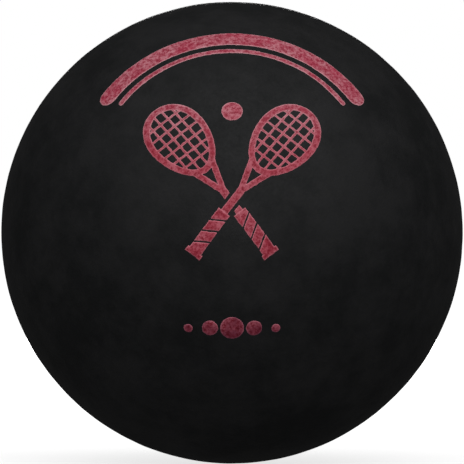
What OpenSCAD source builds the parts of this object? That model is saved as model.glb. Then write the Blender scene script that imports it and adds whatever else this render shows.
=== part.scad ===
// Squash ball: a hollow rubber sphere, made of two moulded half shells that are cemented rim to rim,
// with a mark printed on the front in one colour of ink.
// The origin is the ball's centre. The print faces -Y and stands upright along +Z.
// The seam lies in the plane Y = 0, so it is the ball's outline when the print is seen from the front.

/* [Ball] */
// Outside diameter of the finished ball
ball_d = 42.5; // [39:0.5:46]
// Thickness of the rubber wall
wall = 4.5; // [3.5:0.1:5.5]

/* [Seam] */
// Thickness of the cured cement between the two rims
cement_t = 0.14; // [0.08:0.02:0.3]
// Width of the bevel on the inner edge of each rim
bevel_w = 0.7; // [0.4:0.05:1.2]
// Height of the squeezed-out bead of cement above the inner wall
bead_h = 0.35; // [0.2:0.05:0.6]

/* [Print] */
// Thickness of the ink film
ink_t = 0.05; // [0.03:0.01:0.1]
// Angle of the print's centre above the front of the ball, in degrees
print_tilt = 13.8; // [0:0.2:25]

/* [Arch] */
// Distance over the rubber from the print's centre to the middle of the bold stripe
arch_r = 15.3; // [14.5:0.1:17]
// Width of the bold stripe
bold_w = 1.9; // [1:0.1:2.4]
// Width of the fine stripe under it
fine_w = 0.55; // [0.4:0.05:0.8]
// Bare rubber between the two stripes
stripe_gap = 0.65; // [0.4:0.05:1]
// Angle that the stripes span round the print's centre, in degrees
arch_span = 104; // [60:2:150]

/* [Rackets] */
// Length of a racket from its butt to its tip
racket_l = 17; // [15.5:0.5:19]
// Length of the head
head_l = 7.8; // [6.5:0.1:8.5]
// Greatest width of the head
head_w = 5.5; // [4.5:0.1:6]
// Width of the frame's line
frame_w = 0.62; // [0.45:0.01:0.8]
// Width of one string
string_w = 0.22; // [0.18:0.01:0.3]
// Number of strings that run along the head
main_strings = 4; // [3:1:6]
// Number of strings that run across it
cross_strings = 6; // [4:1:8]
// Length of the open throat under the head
throat_l = 2.1; // [1.5:0.1:2.6]
// Width of the shaft
shaft_w = 0.7; // [0.5:0.05:0.9]
// Length of the grip
grip_l = 4.6; // [3.5:0.1:5]
// Width of the grip
grip_w = 1.25; // [1:0.05:1.5]
// Length of the cap on the butt
butt_l = 0.45; // [0.3:0.05:0.7]
// How far the butt cap stands out past the grip on each side
butt_lip = 0.18; // [0.1:0.02:0.3]
// Bare line where the grip's tape overlaps itself
tape_gap = 0.16; // [0.12:0.02:0.24]
// Angle that each racket leans from upright, in degrees
lean = 38; // [30:1:45]
// Height of the point where the rackets cross, below the print's centre
cross_drop = 2.4; // [1.5:0.1:3.5]
// Bare rubber on each side of the front racket where it crosses the other
cross_gap = 0.3; // [0.2:0.05:0.4]

/* [Spot and dots] */
// Diameter of the round spot between the heads
spot_d = 1.9; // [1.4:0.1:2.4]
// Height of the spot above the print's centre
spot_rise = 6.2; // [5.5:0.1:7]
// Diameter of the largest dot in the row at the bottom
dot_d = 2.1; // [1.5:0.1:2.4]
// Width of the row, between the middles of its two end dots
dot_row_w = 8.4; // [8:0.2:10.4]
// Distance over the rubber from the print's centre to the row
dots_drop = 13.8; // [13:0.1:15]

/* [Hidden] */
ball_r = ball_d / 2;
hollow_r = ball_r - wall;
// How far a cut or a cutter runs past the surface that it goes through
overrun = 1;
// Sizes of the dots, from the left end of the row to the right, as shares of the largest
dot_shares = [0.38, 0.68, 1, 0.68, 0.38];
// How much wider the head is towards its tip than an ellipse, and how much of its width the throat takes
egg_share = 0.13;
throat_share = 0.62;
// Where the tape's bare lines lie along the grip, and how far each climbs across it, as shares
tape_shares = [0.3, 0.55, 0.8];
tape_climb_share = 0.3;
// Where the rackets cross, as a share of the bare shaft from the grip to the throat
cross_share = 0.44;
outline_points = 48;
$fn = 192;

// Where the 45 degree bevel meets the inner wall, from the circle and the line crossing
bevel_sum = hollow_r + bevel_w + cement_t / 2;
mouth_x = (bevel_sum + sqrt(2 * pow(hollow_r, 2) - pow(bevel_sum, 2))) / 2;
mouth_y = bevel_sum - mouth_x;
// The bead is an arc through both edges of the mouth
bead_r = (pow(mouth_y, 2) + pow(bead_h, 2)) / (2 * bead_h);

head_y = racket_l - head_l / 2;
throat_y = racket_l - head_l - throat_l;
cross_at = grip_l + cross_share * (throat_y - grip_l);

// Angle at the ball's centre, in degrees, of a distance measured over the rubber
function over_rubber(distance) = distance / ball_r * 180 / PI;

// An oval whose upper end is wider than its lower one, as points in order
function egg(width, length) = [
  for (i = [0 : outline_points - 1])
    let (turn = i * 360 / outline_points)
      [width / 2 * cos(turn) * (1 + egg_share * sin(turn)), length / 2 * sin(turn)]
];

// Turns the revolve axis of a section to lie along +Y
module along_y() {
  rotate([-90, 0, 0]) children();
}

// The space between the rims: a thin flat slot that opens to a V at the inner edge
module rim_slot(inner_x, inner_y) {
  polygon([
    [ball_r + overrun, cement_t / 2],
    [hollow_r + bevel_w, cement_t / 2],
    [inner_x, inner_y],
    [inner_x, -inner_y],
    [hollow_r + bevel_w, -cement_t / 2],
    [ball_r + overrun, -cement_t / 2]
  ]);
}

// One half shell, its dome towards +Y: a quarter ring of the wall with its rim and bevel, revolved
module half_shell() {
  along_y() rotate_extrude() difference() {
    intersection() {
      circle(r = ball_r);
      square(ball_r);
    }
    circle(r = hollow_r);
    rim_slot(mouth_x - overrun, mouth_y + overrun);
    square([ball_r + overrun, cement_t / 2]);
  }
}

module front_half_shell() {
  color("#1d1d1e") rotate([0, 0, 180]) half_shell();
}

module rear_half_shell() {
  color("#1d1d1e") half_shell();
}

// The cement: the slot filled out to the buffed outside, and the bead in the mouth of the V
module seam_cement() {
  color("#3a3330") along_y() rotate_extrude() {
    intersection() {
      circle(r = ball_r);
      rim_slot(mouth_x, mouth_y);
    }
    intersection() {
      translate([mouth_x - bead_h + bead_r, 0]) circle(r = bead_r);
      translate([mouth_x - bead_h, -mouth_y]) square([bead_h, 2 * mouth_y]);
    }
  }
}

// Turns the print's own frame, with its axis along +Z and its top towards +Y, to its place on the ball
module on_print() {
  rotate([90 - print_tilt, 0, 0]) children();
}

// The part of the ink film that the given solids cut out of a skin over the whole ball
module ink() {
  color("#a34a5c") intersection() {
    difference() {
      sphere(r = ball_r + ink_t);
      sphere(r = ball_r);
    }
    on_print() children();
  }
}

// A flat figure pressed on the ball along the print's axis, as the pad does
module pressed() {
  linear_extrude(height = ball_r + overrun) children();
}

// A round mark at a distance over the rubber from the print's centre, turned round it from the top
module round_mark(diameter, distance, turn) {
  rotate([0, 0, turn]) rotate([-over_rubber(distance), 0, 0])
    cylinder(d = diameter, h = ball_r + overrun);
}

// A stripe of even width with round ends, round the print's centre
module stripe(distance, width) {
  inner = over_rubber(distance - width / 2);
  outer = over_rubber(distance + width / 2);
  reach = ball_r + overrun;
  rotate_extrude(angle = arch_span, start = 90 - arch_span / 2)
    polygon([[0, 0], [reach * sin(inner), reach * cos(inner)], [reach * sin(outer), reach * cos(outer)]]);
  for (side = [-1, 1])
    round_mark(width, distance, side * arch_span / 2);
}

module print_bold_stripe() {
  ink() stripe(arch_r, bold_w);
}

module print_fine_stripe() {
  ink() stripe(arch_r - bold_w / 2 - stripe_gap - fine_w / 2, fine_w);
}

// Where each of a number of strings lies, when they share the space between the frame's two sides evenly
function string_places(count, space) = [
  for (i = [1 : count]) (i / (count + 1) - 1 / 2) * space
];

// The strings inside the head, both ways, run into the frame
module strings() {
  intersection() {
    polygon(egg(head_w - frame_w, head_l - frame_w));
    union() {
      for (across = string_places(main_strings, head_w - 2 * frame_w))
        translate([across - string_w / 2, -head_l / 2]) square([string_w, head_l]);
      for (along = string_places(cross_strings, head_l - 2 * frame_w))
        translate([-head_w / 2, along - string_w / 2]) square([head_w, string_w]);
    }
  }
}

// The two arms that run together from the head to the shaft
module throat() {
  wide = head_w * throat_share / 2;
  top = throat_y + throat_l + head_l / 4;
  difference() {
    polygon([[-shaft_w / 2, throat_y], [shaft_w / 2, throat_y], [wide, top], [-wide, top]]);
    polygon([[0, throat_y + frame_w], [wide - frame_w, top], [frame_w - wide, top]]);
    translate([0, head_y]) polygon(egg(head_w - frame_w, head_l - frame_w));
  }
}

// The grip with its butt cap, crossed by the bare lines of its tape
module grip() {
  climb = grip_w * tape_climb_share;
  difference() {
    translate([-grip_w / 2, 0]) square([grip_w, grip_l]);
    for (share = tape_shares)
      translate([0, grip_l * share]) polygon([
        [-grip_w / 2, -climb - tape_gap / 2], [grip_w / 2, climb - tape_gap / 2],
        [grip_w / 2, climb + tape_gap / 2], [-grip_w / 2, -climb + tape_gap / 2]
      ]);
  }
  translate([-grip_w / 2 - butt_lip, 0]) square([grip_w + 2 * butt_lip, butt_l]);
}

// A racket standing upright on its butt
module racket() {
  translate([0, head_y]) {
    difference() {
      polygon(egg(head_w, head_l));
      polygon(egg(head_w - 2 * frame_w, head_l - 2 * frame_w));
    }
    strings();
  }
  throat();
  translate([-shaft_w / 2, grip_l]) square([shaft_w, throat_y - grip_l + frame_w]);
  grip();
}

// Leans a racket to one side about the point where the two cross
module leaning(side) {
  translate([0, -cross_drop]) rotate([0, 0, -side * lean]) translate([0, -cross_at]) children();
}

module print_left_racket() {
  ink() pressed() difference() {
    leaning(-1) racket();
    leaning(1) translate([-shaft_w / 2 - cross_gap, 0]) square([shaft_w + 2 * cross_gap, racket_l - head_l]);
  }
}

module print_right_racket() {
  ink() pressed() leaning(1) racket();
}

module print_spot() {
  ink() round_mark(spot_d, spot_rise, 0);
}

// A level row of dots, largest in the middle
module print_dot_row() {
  last = len(dot_shares) - 1;
  ink() for (i = [0 : last]) {
    across = (i / last - 1 / 2) * dot_row_w;
    round_mark(dot_d * dot_shares[i], norm([across, dots_drop]), atan2(-across, -dots_drop));
  }
}

front_half_shell();
rear_half_shell();
seam_cement();
print_bold_stripe();
print_fine_stripe();
print_left_racket();
print_right_racket();
print_spot();
print_dot_row();
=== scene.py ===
import math
import bpy
import numpy as np
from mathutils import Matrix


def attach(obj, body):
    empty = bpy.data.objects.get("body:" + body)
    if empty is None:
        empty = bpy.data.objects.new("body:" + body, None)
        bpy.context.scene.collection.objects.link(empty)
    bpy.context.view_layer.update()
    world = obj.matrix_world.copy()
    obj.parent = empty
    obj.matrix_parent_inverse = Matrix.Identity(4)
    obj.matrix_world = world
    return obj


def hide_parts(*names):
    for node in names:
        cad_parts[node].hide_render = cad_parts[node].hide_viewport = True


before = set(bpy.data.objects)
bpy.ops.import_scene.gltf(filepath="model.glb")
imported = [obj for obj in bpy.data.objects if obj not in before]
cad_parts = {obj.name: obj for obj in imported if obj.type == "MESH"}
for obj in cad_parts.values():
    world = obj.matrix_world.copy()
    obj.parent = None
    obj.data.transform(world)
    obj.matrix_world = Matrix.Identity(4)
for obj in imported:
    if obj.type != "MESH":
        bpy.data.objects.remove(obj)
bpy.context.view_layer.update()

# Lengths on the ball are in millimetres until makePiece turns them to metres, and those of the lamps and the camera
# are in metres. The ball's centre is the origin, the print faces -Y with its top towards +Z, and the seam lies in
# the plane Y = 0.
mm = 0.001


# sRGB hex to the linear colour that a shader takes
def hexColour(text):
    values = [int(text[i:i + 2], 16) / 255 for i in (1, 3, 5)]
    return [v / 12.92 if v <= 0.04045 else ((v + 0.055) / 1.055) ** 2.4 for v in values] + [1]


# an empty node tree for a material or a world
def newTree(owner):
    owner.use_nodes = True
    owner.node_tree.nodes.clear()
    return owner.node_tree


# one node with its settings; an input given as a socket is linked, any other value is set. A Mix of colours takes
# its factor as input 0 and the two colours as inputs 6 and 7.
def addNode(tree, kind, inputs, **settings):
    node = tree.nodes.new("ShaderNode" + kind)
    for name, value in settings.items():
        setattr(node, name, value)
    for name, value in inputs.items():
        if isinstance(value, bpy.types.NodeSocket):
            tree.links.new(value, node.inputs[name])
        else:
            node.inputs[name].default_value = value
    return node


# soft unevenness at each point: a sum of cosines along seeded directions, whose lengths lie near the given one,
# scaled to a spread of one
def waves(points, length, seed, count=40):
    rng = np.random.default_rng(seed)
    heading = rng.normal(size=(count, 3))
    heading /= np.linalg.norm(heading, axis=1)[:, None]
    pace = 2 * math.pi / length * rng.uniform(0.7, 1.4, count)
    phase = rng.uniform(0, 2 * math.pi, count)
    total = np.zeros(points.shape[:-1])
    for k in range(count):
        total += np.cos(points @ (heading[k] * pace[k]) + phase[k])
    return total * math.sqrt(2 / count)


# a piece from points in millimetres and faces: it rides on the ball's one body, stands for its CAD node, which it
# hides, and takes the material it is given
def makePiece(name, points, faces, material, node):
    mesh = bpy.data.meshes.new(name)
    mesh.from_pydata((points * mm).tolist(), [], faces)
    mesh.polygons.foreach_set("use_smooth", [True] * len(mesh.polygons))
    mesh.materials.append(material)
    mesh.update()
    piece = bpy.data.objects.new(name, mesh)
    bpy.context.scene.collection.objects.link(piece)
    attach(piece, "root")
    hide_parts(node)
    print(name, len(points), "points")
    return piece


# carries a profile round the Y axis: rows of (distance from the axis, place along it), the same for each step
# round or one for each, joined row by row
def carryRound(profile, steps):
    turn = np.arange(steps) * 2 * math.pi / steps
    out = profile[..., 0] if profile.ndim == 3 else np.repeat(profile[:, :1], steps, 1)
    along = profile[..., 1] if profile.ndim == 3 else np.repeat(profile[:, 1:], steps, 1)
    return np.stack([out * np.cos(turn), along, out * np.sin(turn)], -1)


# quads between the rows of a grid that closes on itself along each row, and from the last row to the first if asked
def gridFaces(rows, steps, closed=False):
    i, j = np.meshgrid(np.arange(rows if closed else rows - 1), np.arange(steps), indexing="ij")
    row, nextRow, nextStep = i * steps, (i + 1) % rows * steps, (j + 1) % steps
    return np.stack([row + j, row + nextStep, nextRow + nextStep, nextRow + j], -1).reshape(-1, 4)


print("half shells")

shell = {
    "radius": 21.25,
    "hollowRadius": 16.75,
    "bevel": 0.7,              # width of the bevel on the inner edge of the rim
    "lip": 0.14,               # the buffing rounds the outer edge of the rim over this width,
    "lipDrop": 0.022,          # and by this much
    "rings": 176,              # from the pole to the lip
    "lipRings": 6,
    "rimRings": 9,
    "bevelRings": 4,
    "hollowRings": 46,
    "steps": 360,              # round the Y axis
    "relief": {5.2: 0.006, 1.7: 0.0035},   # how high the unevenness of the skin is, for each length
    "reliefSeed": 11,
    "darkPatch": "#111213",
    "lightPatch": "#1d1d1e",
    "patchSize": 6.6,          # of the largest patches, which break up into finer ones
    "patchSeed": 12.276,
    "patchFineness": 0.75,     # strength of each size of patch against the size twice as large
    "patchRange": (0.4, 0.6),  # the noise values between which dark passes into light
    "grainSize": 0.28,         # the real grain is finer: this is as coarse as it needs to show
    "grainHeight": 0.02,
    "scratchLength": 4,
    "scratchWidth": 0.14,
    "buffed": "#373738",
    "buffedWidth": 2.1,        # on each side of the seam, fading over its outer half
    "buffedWander": 1.6,       # how much the edge of the buffed band wanders
    "roughness": (0.62, 0.73),
    "ior": 1.5,
    "specular": 0.24,
}
seam = {
    "thickness": 0.14,
    "recess": 0.03,            # how far the cement lies under the ball's skin
    "bead": 0.35,              # how far the squeezed-out bead stands above the inner wall
    "beadWander": 0.04,        # and how far it wanders from that, in waves given by their number round the ball,
    "beadWaves": ((3, 1, 1), (11, 0.5, 2), (23, 0.4, 0)),   # their share and their phase
    "beadRings": 13,
    "colour": "#131212",
    "dustyColour": "#1e1c1a",
    "grainSize": 0.55,
    "grainHeight": 0.01,
    "roughness": 0.5,
    "ior": 1.5,
    "specular": 0.3,
}
radius = shell["radius"]

# Where the bevel's 45 degree line, out + along = bevelSum, meets the circle of the hollow
bevelSum = shell["hollowRadius"] + shell["bevel"] + seam["thickness"] / 2
mouthOut = (bevelSum + math.sqrt(2 * shell["hollowRadius"] ** 2 - bevelSum ** 2)) / 2
mouthAlong = bevelSum - mouthOut

# Butyl rubber filled with carbon black, compression moulded and tumbled. It is a dull, slightly cool black, with a
# wide soft sheen and no sharp reflection. The skin is mottled in soft patches from 7 mm down to 0.2 mm and has a fine
# grain, and scratches from the buffing wheel run along the seam.
rubber = bpy.data.materials.new("tumbledButylRubber")
tree = newTree(rubber)
place = addNode(tree, "TexCoord", {}).outputs["Object"]
mottle = addNode(tree, "TexNoise", {
    "Vector": place, "W": shell["patchSeed"], "Scale": 1 / (shell["patchSize"] * mm), "Detail": 5,
    "Roughness": shell["patchFineness"],
}, noise_dimensions="4D")
grain = addNode(tree, "TexNoise", {
    "Vector": place, "Scale": 1 / (shell["grainSize"] * mm), "Detail": 2, "Roughness": 0.6,
})
patch = addNode(tree, "MapRange", {
    "Value": mottle.outputs[0], "From Min": shell["patchRange"][0], "From Max": shell["patchRange"][1],
})
moulded = addNode(tree, "Mix", {
    0: patch.outputs[0], 6: hexColour(shell["darkPatch"]), 7: hexColour(shell["lightPatch"]),
}, data_type="RGBA")
alongWheel, acrossWheel = 1 / (shell["scratchLength"] * mm), 1 / (shell["scratchWidth"] * mm)
drawnOut = addNode(tree, "Mapping", {"Vector": place, "Scale": (alongWheel, acrossWheel, alongWheel)})
scratch = addNode(tree, "TexNoise", {"Vector": drawnOut.outputs[0], "Scale": 1, "Detail": 2})
sides = addNode(tree, "SeparateXYZ", {"Vector": place})
fromSeam = addNode(tree, "Math", {0: sides.outputs["Y"]}, operation="ABSOLUTE")
offCentre = addNode(tree, "Math", {0: mottle.outputs[0], 1: 0.5}, operation="SUBTRACT")
wandered = addNode(tree, "Math", {
    0: offCentre.outputs[0], 1: shell["buffedWander"] * mm, 2: fromSeam.outputs[0],
}, operation="MULTIPLY_ADD")
band = addNode(tree, "MapRange", {
    "Value": wandered.outputs[0], "From Min": 0.5 * shell["buffedWidth"] * mm, "From Max": shell["buffedWidth"] * mm,
    "To Min": 1, "To Max": 0,
})
buffed = addNode(tree, "Math", {0: band.outputs[0], 1: scratch.outputs[0]}, operation="MULTIPLY")
colour = addNode(tree, "Mix", {
    0: buffed.outputs[0], 6: moulded.outputs[2], 7: hexColour(shell["buffed"]),
}, data_type="RGBA")
rough = addNode(tree, "MapRange", {
    "Value": grain.outputs[0], "From Min": 0.3, "From Max": 0.7,
    "To Min": shell["roughness"][0], "To Max": shell["roughness"][1],
})
height = addNode(tree, "Math", {0: grain.outputs[0], 1: buffed.outputs[0]}, operation="ADD")
bump = addNode(tree, "Bump", {"Height": height.outputs[0], "Distance": shell["grainHeight"] * mm})
skin = addNode(tree, "BsdfPrincipled", {
    "Base Color": colour.outputs[2], "Roughness": rough.outputs[0], "Normal": bump.outputs[0],
    "IOR": shell["ior"], "Specular IOR Level": shell["specular"],
})
addNode(tree, "OutputMaterial", {"Surface": skin.outputs[0]})


# how far the skin stands off the true sphere: the unevenness of each length, times its height
def skinRelief(points):
    return sum(high * waves(points, length, shell["reliefSeed"]) for length, high in shell["relief"].items())


# The profile runs from the outer pole down the outside, over the lip, across the flat rim, down the bevel and up
# the hollow to the inner pole. It is carried round the Y axis, a fan of triangles closes each pole, and the outside
# is lifted by the relief. Side is -1 for the front half and 1 for the rear one.
def makeHalfShell(name, node, side):
    halfGap = seam["thickness"] / 2
    lipTurn = math.acos((halfGap + shell["lip"]) / radius)
    rimTurn = math.acos(halfGap / radius)
    lipTurns = np.linspace(lipTurn, rimTurn, shell["lipRings"])[1:]
    turn = np.concatenate([np.linspace(0, lipTurn, shell["rings"]), lipTurns])
    rounded = np.clip((turn - lipTurn) / (rimTurn - lipTurn), 0, 1) ** 2 * shell["lipDrop"]
    outside = np.stack([np.sin(turn) * (radius - rounded), np.cos(turn) * (radius - rounded)], 1)
    outside[-1, 1] = halfGap
    rimOut = np.linspace(outside[-1, 0], shell["hollowRadius"] + shell["bevel"], shell["rimRings"])[1:]
    rim = np.stack([rimOut, np.full(len(rimOut), halfGap)], 1)
    bevelOut = np.linspace(rimOut[-1], mouthOut, shell["bevelRings"])[1:]
    bevel = np.stack([bevelOut, bevelSum - bevelOut], 1)
    turn = np.linspace(math.atan2(mouthOut, mouthAlong), 0, shell["hollowRings"])[1:]
    hollow = np.stack([np.sin(turn), np.cos(turn)], 1) * shell["hollowRadius"]
    profile = np.concatenate([outside, rim, bevel, hollow]) * [1, side]
    steps, rows = shell["steps"], len(profile) - 2
    poles = [[0, profile[0, 1], 0], [0, profile[-1, 1], 0]]
    points = np.concatenate([carryRound(profile[1:-1], steps).reshape(-1, 3), poles])
    far = np.linalg.norm(points, axis=1)
    onSkin = far > radius - 0.001
    points *= (1 + np.where(onSkin, skinRelief(points), 0) / far)[:, None]
    j = np.arange(steps)
    last = (rows - 1) * steps
    outerFan = np.stack([np.full(steps, rows * steps), (j + 1) % steps, j], 1)
    innerFan = np.stack([np.full(steps, rows * steps + 1), last + j, last + (j + 1) % steps], 1)
    faces = [face for part in (gridFaces(rows, steps), outerFan, innerFan) for face in part[:, ::side].tolist()]
    return makePiece(name, points, faces, rubber, node)


makeHalfShell("frontHalfShell", "front_half_shell", -1)
makeHalfShell("rearHalfShell", "rear_half_shell", 1)

print("seam")

# Rubber cement, brushed on both rims and cured with them: near black, a little browner and glossier than the shells
cement = bpy.data.materials.new("curedRubberCement")
tree = newTree(cement)
place = addNode(tree, "TexCoord", {}).outputs["Object"]
grain = addNode(tree, "TexNoise", {"Vector": place, "Scale": 1 / (seam["grainSize"] * mm), "Detail": 2})
colour = addNode(tree, "Mix", {
    0: grain.outputs[0], 6: hexColour(seam["colour"]), 7: hexColour(seam["dustyColour"]),
}, data_type="RGBA")
bump = addNode(tree, "Bump", {"Height": grain.outputs[0], "Distance": seam["grainHeight"] * mm})
skin = addNode(tree, "BsdfPrincipled", {
    "Base Color": colour.outputs[2], "Roughness": seam["roughness"], "Normal": bump.outputs[0],
    "IOR": seam["ior"], "Specular IOR Level": seam["specular"],
})
addNode(tree, "OutputMaterial", {"Surface": skin.outputs[0]})


# A closed profile: the flat slot between the rims, and inside it an arc from one mouth edge to the other. The
# height of the arc wanders round the ball, as squeezed-out cement does.
def makeSeam():
    steps = shell["steps"]
    turn = np.arange(steps) * 2 * math.pi / steps
    wander = sum(share * np.cos(number * turn + phase) for number, share, phase in seam["beadWaves"])
    bead = seam["bead"] + seam["beadWander"] * wander
    share = np.linspace(1, -1, seam["beadRings"])[:, None]
    arc = np.stack([mouthOut - bead * (1 - share ** 2), mouthAlong * share + 0 * turn], -1)
    halfGap = seam["thickness"] / 2
    slot = np.array([[radius - seam["recess"], halfGap], [shell["hollowRadius"] + shell["bevel"], halfGap]])
    behind = np.repeat(slot[:, None], steps, 1)
    before = np.repeat(slot[::-1, None] * [1, -1], steps, 1)
    profile = np.concatenate([behind, arc, before])
    points = carryRound(profile, steps).reshape(-1, 3)
    faces = gridFaces(len(profile), steps, closed=True)[:, ::-1].tolist()
    return makePiece("seamCement", points, faces, cement, "seam_cement")


makeSeam()

print("print")

film = {
    "tilt": 13.8,              # degrees from the ball's front up to the print's centre
    "thickness": 0.03,
    "edgeThickness": 0.009,
    "shoulder": 0.09,          # the film reaches its thickness this far in from its edge
    "swell": 0.1,              # share by which the thickness swells and shrinks, over this length
    "swellLength": 0.5,
    "sunk": 0.02,              # how far the film reaches into the rubber's pores
    "cell": 0.046,             # of the grid that the shapes are cut from
    "ragged": 0.009,           # how far the edge strays from the true outline, over this length
    "raggedLength": 0.45,
    "rimWidth": 0.11,          # of the lighter rim, where the pad squeezed the ink out to its edge
    "rimShare": 0.75,
    "rimColour": "#e0a9b0",
    "full": "#a93c51",         # where the ink lies thick, and where it lies thin and dusty, the latter also painted lighter and greyer as a sheen
    "dustAndSheen": "#ba727d",
    "cloudSize": 1.25,
    "cloudRange": (0.36, 0.64),   # the noise values between which thick ink passes into thin, dusty ink with painted sheen
    "rubbed": "#c68b92",       # specks rubbed light, below these noise values
    "rubbedRange": (0.37, 0.46),
    "rubbedShare": 0.4,
    "deep": "#8e2438",         # specks of bare colour, above these
    "deepRange": (0.46, 0.6),
    "speckSize": 0.33,
    "speckHeight": 0.01,
    "roughness": 0.55,
    "ior": 1.5,
    "specular": 0.2,
    "stripeTint": "#ffffff",   # the impression grows thinner and darker from the stripes over the rackets
    "racketTint": "#f4c3cd",   # to the dots
    "dotTint": "#a8829a",
    "stripeRise": (7, 12),     # the heights between which one tint passes into the next
    "dotRise": (-9.5, -2.5),
    "patchy": 17,              # and unevenly so, as if parts of the lower print lay this much higher or lower
}

# Red pad-print ink on tumbled rubber: a dull film that lies thin on the grain. It has cloudy patches of about 1 mm,
# where thin, dusty ink is painted lighter and greyer, partly as a painted sheen, deep and rubbed specks of 0.3 mm,
# and a lighter rim round each shape.
ink = bpy.data.materials.new("padPrintInk")
tree = newTree(ink)
place = addNode(tree, "TexCoord", {}).outputs["Object"]
cloud = addNode(tree, "TexNoise", {
    "Vector": place, "Scale": 1 / (film["cloudSize"] * mm), "Detail": 3, "Roughness": 0.6,
})
specks = addNode(tree, "TexNoise", {
    "Vector": place, "Scale": 1 / (film["speckSize"] * mm), "Detail": 3, "Roughness": 0.8,
})
# painted sheen: the cloud noise passes the ink from thick crimson to a lighter, greyer pink that stands for thin,
# dusty ink and for sheen
thinAndSheen = addNode(tree, "MapRange", {
    "Value": cloud.outputs[0], "From Min": film["cloudRange"][0], "From Max": film["cloudRange"][1],
})
body = addNode(tree, "Mix", {
    0: thinAndSheen.outputs[0], 6: hexColour(film["full"]), 7: hexColour(film["dustAndSheen"]),
}, data_type="RGBA")
light = addNode(tree, "MapRange", {
    "Value": specks.outputs[0], "From Min": film["rubbedRange"][0], "From Max": film["rubbedRange"][1],
    "To Min": film["rubbedShare"], "To Max": 0,
})
rubbed = addNode(tree, "Mix", {
    0: light.outputs[0], 6: body.outputs[2], 7: hexColour(film["rubbed"]),
}, data_type="RGBA")
dark = addNode(tree, "MapRange", {
    "Value": specks.outputs[0], "From Min": film["deepRange"][0], "From Max": film["deepRange"][1],
})
speckled = addNode(tree, "Mix", {
    0: dark.outputs[0], 6: rubbed.outputs[2], 7: hexColour(film["deep"]),
}, data_type="RGBA")
nearEdge = addNode(tree, "Attribute", {}, attribute_name="nearEdge")
squeezed = addNode(tree, "Math", {0: nearEdge.outputs["Fac"], 1: film["rimShare"]}, operation="MULTIPLY")
rimmed = addNode(tree, "Mix", {
    0: squeezed.outputs[0], 6: speckled.outputs[2], 7: hexColour(film["rimColour"]),
}, data_type="RGBA")
sides = addNode(tree, "SeparateXYZ", {"Vector": place})
offCentre = addNode(tree, "Math", {0: cloud.outputs[0], 1: 0.5}, operation="SUBTRACT")
patchyRise = addNode(tree, "Math", {
    0: offCentre.outputs[0], 1: film["patchy"] * mm, 2: sides.outputs["Z"],
}, operation="MULTIPLY_ADD")
upper = addNode(tree, "MapRange", {
    "Value": sides.outputs["Z"], "From Min": film["stripeRise"][0] * mm, "From Max": film["stripeRise"][1] * mm,
})
lower = addNode(tree, "MapRange", {
    "Value": patchyRise.outputs[0], "From Min": film["dotRise"][0] * mm, "From Max": film["dotRise"][1] * mm,
})
fuller = addNode(tree, "Mix", {
    0: upper.outputs[0], 6: hexColour(film["racketTint"]), 7: hexColour(film["stripeTint"]),
}, data_type="RGBA")
tint = addNode(tree, "Mix", {
    0: lower.outputs[0], 6: hexColour(film["dotTint"]), 7: fuller.outputs[2],
}, data_type="RGBA")
colour = addNode(tree, "Mix", {
    0: 1, 6: rimmed.outputs[2], 7: tint.outputs[2],
}, data_type="RGBA", blend_type="MULTIPLY")
bump = addNode(tree, "Bump", {"Height": specks.outputs[0], "Distance": film["speckHeight"] * mm})
skin = addNode(tree, "BsdfPrincipled", {
    "Base Color": colour.outputs[2], "Roughness": film["roughness"], "Normal": bump.outputs[0],
    "IOR": film["ior"], "Specular IOR Level": film["specular"],
})
addNode(tree, "OutputMaterial", {"Surface": skin.outputs[0]})

# The print's own axes
tilt = math.radians(film["tilt"])
printOut = np.array([0, -math.cos(tilt), math.sin(tilt)])
printRight = np.array([1.0, 0, 0])
printUp = np.array([0, math.sin(tilt), math.cos(tilt)])


# Directions from the ball's centre to places given as distances over the rubber, right and up from the print's
# centre: the great circle that leaves the centre that way, followed for that distance
def overRubber(right, up):
    far = np.hypot(right, up)
    angle = far / radius
    share = np.sin(angle) / np.maximum(far, 1e-9)
    sideways = (share * right)[..., None] * printRight + (share * up)[..., None] * printUp
    return np.cos(angle)[..., None] * printOut + sideways


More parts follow.
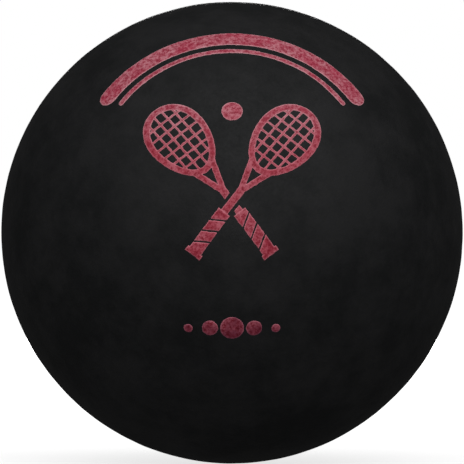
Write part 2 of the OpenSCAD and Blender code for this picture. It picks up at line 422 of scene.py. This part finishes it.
# A film of ink. The shape gives each place its signed distance to the outline, below nought inside. The cells of a
# fine grid between the corners low and high that lie inside are kept, the points on their edge slide down the
# distance's slope on to the outline, and the film rises from its edge as a root, on the relief of the skin. The
# solidify modifier closes it below. The attribute nearEdge runs from 1 at the outline to 0 at the rim's width, and
# also draws a faint line where two forms of a figure meet.
def makeInk(name, node, shape, low, high, seed):
    cell = film["cell"]
    right, up = np.meshgrid(np.arange(low[0], high[0], cell), np.arange(low[1], high[1], cell), indexing="ij")
    out = overRubber(right, up)
    distance = shape(right, up, out) + film["ragged"] * waves(out * radius, film["raggedLength"], seed)
    inside = distance[:-1, :-1] + distance[1:, :-1] + distance[:-1, 1:] + distance[1:, 1:] < 0
    for _ in range(3):  # cells that meet only at a corner get a neighbour
        inside[1:, :-1] |= inside[:-1, :-1] & inside[1:, 1:] & ~inside[:-1, 1:]
        inside[:-1, :-1] |= inside[1:, :-1] & inside[:-1, 1:] & ~inside[1:, 1:]
    padded = np.pad(inside, 1)
    cellsRound = padded[:-1, :-1].astype(int) + padded[1:, :-1] + padded[:-1, 1:] + padded[1:, 1:]
    kept = cellsRound > 0
    edge = kept & (cellsRound < 4)
    slopeRight, slopeUp = np.gradient(distance, cell)
    slide = np.where(edge, distance, 0) / np.maximum(slopeRight ** 2 + slopeUp ** 2, 0.2)
    limit = 0.6 * cell
    slideRight, slideUp = np.clip(slide * slopeRight, -limit, limit), np.clip(slide * slopeUp, -limit, limit)
    out = overRubber(right - slideRight, up - slideUp)
    swell = 1 + film["swell"] * waves(out * radius, film["swellLength"], seed + 7)
    rise = film["thickness"] * np.clip(-distance / film["shoulder"], 0, 1) ** 0.5 * swell
    rise = np.where(edge, film["edgeThickness"], np.maximum(rise, film["edgeThickness"]))
    points = out * (radius + skinRelief(out * radius) + rise)[..., None]
    number = np.cumsum(kept.ravel()).reshape(kept.shape) - 1
    i, j = np.nonzero(inside)
    faces = np.stack([number[i, j], number[i + 1, j], number[i + 1, j + 1], number[i, j + 1]], 1)
    piece = makePiece(name, points[kept], faces.tolist(), ink, node)
    nearEdge = np.where(edge, 1, np.clip(1 + distance / film["rimWidth"], 0, 1))[kept]
    piece.data.attributes.new("nearEdge", "FLOAT", "POINT").data.foreach_set("value", nearEdge)
    solid = piece.modifiers.new("film", "SOLIDIFY")
    solid.thickness = (film["sunk"] + film["edgeThickness"]) * mm
    solid.offset = -1
    return piece


# a round mark: the distance from the line through its middle, less its own radius
def roundMark(diameter, right, up):
    middle = overRubber(np.array(float(right)), np.array(float(up)))
    return lambda u, v, out: radius * np.sqrt(np.maximum(1 - (out @ middle) ** 2, 0)) - diameter / 2


stripes = {
    "boldMiddle": 15.3,        # over the rubber from the print's centre
    "boldWidth": 1.9,
    "fineWidth": 0.55,
    "gap": 0.65,
    "span": 104,               # degrees
}


# a stripe round the print's centre: the distance to its middle line, less half its width, with a round mark at each
# end
def stripe(middle, width):
    half = math.radians(stripes["span"] / 2)
    ends = [roundMark(width, side * middle * math.sin(half), middle * math.cos(half)) for side in (-1, 1)]

    def shape(u, v, out):
        body = np.where(np.abs(np.arctan2(u, v)) <= half, np.abs(np.hypot(u, v) - middle) - width / 2, np.inf)
        return np.minimum.reduce([body] + [end(u, v, out) for end in ends])
    return shape


boldStripe = stripe(stripes["boldMiddle"], stripes["boldWidth"])
fineMiddle = stripes["boldMiddle"] - stripes["boldWidth"] / 2 - stripes["gap"] - stripes["fineWidth"] / 2
fineStripe = stripe(fineMiddle, stripes["fineWidth"])
makeInk("printBoldStripe", "print_bold_stripe", boldStripe, (-14, 7.5), (14, 17), 31)
makeInk("printFineStripe", "print_fine_stripe", fineStripe, (-12.5, 6.5), (12.5, 15), 32)

rackets = {
    "length": 17,
    "headLength": 7.8,
    "headWidth": 5.5,
    "frame": 0.62,
    "egg": 0.13,               # how much wider the head is towards its tip than an ellipse
    "string": 0.22,
    "mains": 4,
    "crosses": 6,
    "throat": 2.1,
    "throatShare": 0.62,       # of the head's width, where the arms end
    "shaft": 0.7,
    "gripLength": 4.6,
    "gripWidth": 1.25,
    "buttLength": 0.45,
    "buttLip": 0.18,
    "tapeGap": 0.16,
    "tapeShares": (0.3, 0.55, 0.8),   # how far up the grip the gaps of the tape cross its middle
    "tapeClimb": 0.6,
    "lean": 38,                # degrees
    "crossDrop": 2.4,          # the crossing lies this far below the print's centre,
    "crossAt": 5.7,            # and this far up each racket
    "crossGap": 0.3,
}


# an egg: an ellipse whose width grows towards the top, its distance being k (k - 1) over the slope of k, with
# k the size of the egg through the place
def egg(x, y, width, length):
    half = width / 2 * (1 + rackets["egg"] * np.clip(y / (length / 2), -1, 1))
    k = np.hypot(x / half, y / (length / 2))
    return k * (k - 1) / np.maximum(np.hypot(x / half ** 2, y / (length / 2) ** 2), 1e-6)


# a convex outline, its corners in counter-clockwise order: the largest distance outside any side's line
def convex(x, y, corners):
    sides = []
    for (x0, y0), (x1, y1) in zip(corners, corners[1:] + corners[:1]):
        sides.append(((x - x0) * (y1 - y0) - (y - y0) * (x1 - x0)) / math.hypot(x1 - x0, y1 - y0))
    return np.maximum.reduce(sides)


# an upright rectangle, as a convex outline
def upright(x, y, width, bottom, top):
    return convex(x, y, [(-width / 2, bottom), (width / 2, bottom), (width / 2, top), (-width / 2, top)])


# a place as a racket's own across and along, the pad pressing it straight along the print's axis
def leaned(out, side):
    across = radius * (out @ printRight)
    along = radius * (out @ printUp) + rackets["crossDrop"]
    turn = math.radians(rackets["lean"]) * side
    x = across * math.cos(turn) - along * math.sin(turn)
    y = across * math.sin(turn) + along * math.cos(turn) + rackets["crossAt"]
    return x, y


# the strings that share a space evenly: the distance to the nearest string's middle, less half its width
def strung(place, count, space):
    pitch = space / (count + 1)
    middle = (count - 1) / 2
    nearest = np.clip(np.round(place / pitch + middle), 0, count - 1) - middle
    return np.abs(place - nearest * pitch) - rackets["string"] / 2


# a racket standing on its butt: head ring, strings inside it, throat arms, shaft, taped grip and butt cap
def racket(x, y):
    r = rackets
    headY = r["length"] - r["headLength"] / 2
    throatY = r["length"] - r["headLength"] - r["throat"]
    top = throatY + r["throat"] + r["headLength"] / 4
    wide = r["headWidth"] * r["throatShare"] / 2
    ring = np.maximum(
        egg(x, y - headY, r["headWidth"], r["headLength"]),
        -egg(x, y - headY, r["headWidth"] - 2 * r["frame"], r["headLength"] - 2 * r["frame"]),
    )
    bed = egg(x, y - headY, r["headWidth"] - r["frame"], r["headLength"] - r["frame"])
    mains = strung(x, r["mains"], r["headWidth"] - 2 * r["frame"])
    crosses = strung(y - headY, r["crosses"], r["headLength"] - 2 * r["frame"])
    strings = np.maximum(np.minimum(mains, crosses), bed)
    arms = convex(x, y, [(-r["shaft"] / 2, throatY), (r["shaft"] / 2, throatY), (wide, top), (-wide, top)])
    between = convex(x, y, [(0, throatY + r["frame"]), (wide - r["frame"], top), (r["frame"] - wide, top)])
    throat = np.maximum.reduce([arms, -between, -bed])
    shaft = upright(x, y, r["shaft"], r["gripLength"], throatY + r["frame"])
    grip = upright(x, y, r["gripWidth"], 0, r["gripLength"])
    for share in r["tapeShares"]:
        offLine = np.abs(y - r["gripLength"] * share - r["tapeClimb"] * x)
        grip = np.maximum(grip, (r["tapeGap"] / 2 - offLine) / math.hypot(1, r["tapeClimb"]))
    butt = upright(x, y, r["gripWidth"] + 2 * r["buttLip"], 0, r["buttLength"])
    return np.minimum.reduce([ring, strings, throat, shaft, grip, butt])


# the racket in front, leaned to the right
def rightRacket(u, v, out):
    return racket(*leaned(out, 1))


# the racket behind, cut clear of the front one's shaft
def leftRacket(u, v, out):
    clearWidth = rackets["shaft"] + 2 * rackets["crossGap"]
    clear = upright(*leaned(out, 1), clearWidth, 0, rackets["length"] - rackets["headLength"])
    return np.maximum(racket(*leaned(out, -1)), -clear)


makeInk("printLeftRacket", "print_left_racket", leftRacket, (-11, -8.5), (6, 10), 33)
makeInk("printRightRacket", "print_right_racket", rightRacket, (-6, -8.5), (11, 10), 34)

dots = {
    "spot": 1.9,               # diameter of the one between the rackets
    "spotRise": 6.2,
    "largest": 2.1,
    "shares": (0.38, 0.68, 1, 0.68, 0.38),   # of the largest, from left to right
    "rowWidth": 8.4,           # between the middles of the end dots
    "drop": 13.8,
}


# round marks in a level row, their middles evenly spaced: the distance to the nearest
def dotRow(u, v, out):
    last = len(dots["shares"]) - 1
    each = [roundMark(dots["largest"] * share, (i / last - 0.5) * dots["rowWidth"], -dots["drop"])(u, v, out)
            for i, share in enumerate(dots["shares"])]
    return np.minimum.reduce(each)


makeInk("printSpot", "print_spot", roundMark(dots["spot"], 0, dots["spotRise"]), (-1.5, 4.7), (1.5, 7.7), 35)
makeInk("printDotRow", "print_dot_row", dotRow, (-5.5, -15.5), (5.5, -12), 36)

print("studio")

studio = {
    "keyLevel": 0.62,          # how bright the key makes a white patch that faces it
    "keySize": 1.06,           # metres across
    "keyDistance": 0.6,
    "keyRise": 44.3,           # degrees
    "keyTurn": 5.3,
    "backLevel": 0.45,
    "backSize": 0.12,
    "backDistance": 0.6,
    "backRise": 6,
    "roomLevel": 0.29,         # the light from all round
    "roomGloss": 0.05,         # and how bright the rubber's sheen sees it: the matte ball is set in a dim room
    "floorLevel": 0.2,
    "floorBounce": "#565656",  # the floor's colour where it lights the ball,
    "floorGloss": "#2a2a2a",   # where the ball's sheen sees it,
    "floorSeen": "#b3b3b3",    # and to the camera, over a glow that keeps it white away from the shadow
    "glow": (0.74, 0.96),      # near the ball and far from it,
    "glowFrom": (30, 160),     # which are these millimetres from its centre
}


# a disk lamp aimed at the ball, its power worked out from how bright it makes a white patch: the level over the
# sine squared of the disk's half angle is its own brightness, times its area and pi squared for the watts
def addLamp(name, level, size, distance, rise, turn):
    data = bpy.data.lights.new(name, "AREA")
    data.shape = "DISK"
    data.size = size
    data.energy = level / math.sin(math.atan(size / 2 / distance)) ** 2 * math.pi ** 2 / 4 * size ** 2
    lamp = bpy.data.objects.new(name, data)
    rise, turn = math.radians(rise), math.radians(turn)
    away = distance * math.cos(rise)
    lamp.location = (away * math.sin(turn), -away * math.cos(turn), distance * math.sin(rise))
    lamp.rotation_euler = (math.pi / 2 - rise, 0, turn)
    lamp.visible_camera = False
    bpy.context.scene.collection.objects.link(lamp)


addLamp("key", studio["keyLevel"], studio["keySize"], studio["keyDistance"], studio["keyRise"], studio["keyTurn"])
addLamp("back", studio["backLevel"], studio["backSize"], studio["backDistance"], studio["backRise"], 180)


# picks between what the camera sees, straight or through glass, and what lights the ball
def seenOrLit(tree, path, lit, seen):
    straight = addNode(tree, "Math", {
        0: path.outputs["Is Camera Ray"], 1: path.outputs["Is Transmission Ray"],
    }, operation="MAXIMUM")
    return addNode(tree, "MixShader", {0: straight.outputs[0], 1: lit.outputs[0], 2: seen.outputs[0]})


# pale floor: white to the camera but for the ball's shadow, and dimmer where it lights the ball or shows in it
floorMaterial = bpy.data.materials.new("paleFloor")
tree = newTree(floorMaterial)
path = addNode(tree, "LightPath", {})
place = addNode(tree, "TexCoord", {}).outputs["Object"]
fromBall = addNode(tree, "VectorMath", {0: place}, operation="LENGTH")
fade = addNode(tree, "MapRange", {
    "Value": fromBall.outputs["Value"],
    "From Min": studio["glowFrom"][0] * mm, "From Max": studio["glowFrom"][1] * mm,
    "To Min": studio["glow"][0], "To Max": studio["glow"][1],
}, interpolation_type="SMOOTHSTEP")
shaded = addNode(tree, "BsdfDiffuse", {"Color": hexColour(studio["floorSeen"])})
glow = addNode(tree, "Emission", {"Strength": fade.outputs[0]})
seen = addNode(tree, "AddShader", {0: shaded.outputs[0], 1: glow.outputs[0]})
bounce = addNode(tree, "Mix", {
    0: path.outputs["Is Glossy Ray"], 6: hexColour(studio["floorBounce"]), 7: hexColour(studio["floorGloss"]),
}, data_type="RGBA")
bounced = addNode(tree, "BsdfDiffuse", {"Color": bounce.outputs[2]})
table = addNode(tree, "Emission", {
    "Color": bounce.outputs[2], "Strength": studio["floorLevel"] / hexColour(studio["floorBounce"])[0],
})
lit = addNode(tree, "AddShader", {0: bounced.outputs[0], 1: table.outputs[0]})
addNode(tree, "OutputMaterial", {"Surface": seenOrLit(tree, path, lit, seen).outputs[0]})
floorMesh = bpy.data.meshes.new("floor")
far, under = 3, -radius * mm
corners = [(-far, -far, under), (far, -far, under), (far, far, under), (-far, far, under)]
floorMesh.from_pydata(corners, [], [(0, 1, 2, 3)])
floorMesh.materials.append(floorMaterial)
floor = bpy.data.objects.new("floor", floorMesh)
bpy.context.scene.collection.objects.link(floor)

# white room: it lights evenly from all round, so it needs no sampling of its own
world = bpy.data.worlds.new("whiteRoom")
bpy.context.scene.world = world
world.cycles.sampling_method = "NONE"
tree = newTree(world)
path = addNode(tree, "LightPath", {})
level = addNode(tree, "MapRange", {
    "Value": path.outputs["Is Glossy Ray"], "To Min": studio["roomLevel"], "To Max": studio["roomGloss"],
})
lit = addNode(tree, "Background", {"Color": hexColour("#ffffff"), "Strength": level.outputs[0]})
seen = addNode(tree, "Background", {"Color": hexColour("#ffffff"), "Strength": 1})
addNode(tree, "OutputWorld", {"Surface": seenOrLit(tree, path, lit, seen).outputs[0]})

# The camera stands level with the ball's centre.
view = {
    "distance": 0.5,
    "ballShare": 230.8 / 232,  # the ball's radius against half the frame, both in pixels of the 464 x 464 image
    "shiftY": 0.0015,          # the ball sits 0.7 pixels low
}
cameraData = bpy.data.cameras.new("camera")
halfWidth = math.tan(math.asin(radius * mm / view["distance"])) / view["ballShare"]
cameraData.lens = cameraData.sensor_width / 2 / halfWidth
cameraData.shift_y = view["shiftY"]
camera = bpy.data.objects.new("camera", cameraData)
camera.location = (0, -view["distance"], 0)
camera.rotation_euler = (math.pi / 2, 0, 0)
bpy.context.scene.collection.objects.link(camera)
bpy.context.scene.camera = camera
bpy.context.scene.view_settings.view_transform = "Standard"
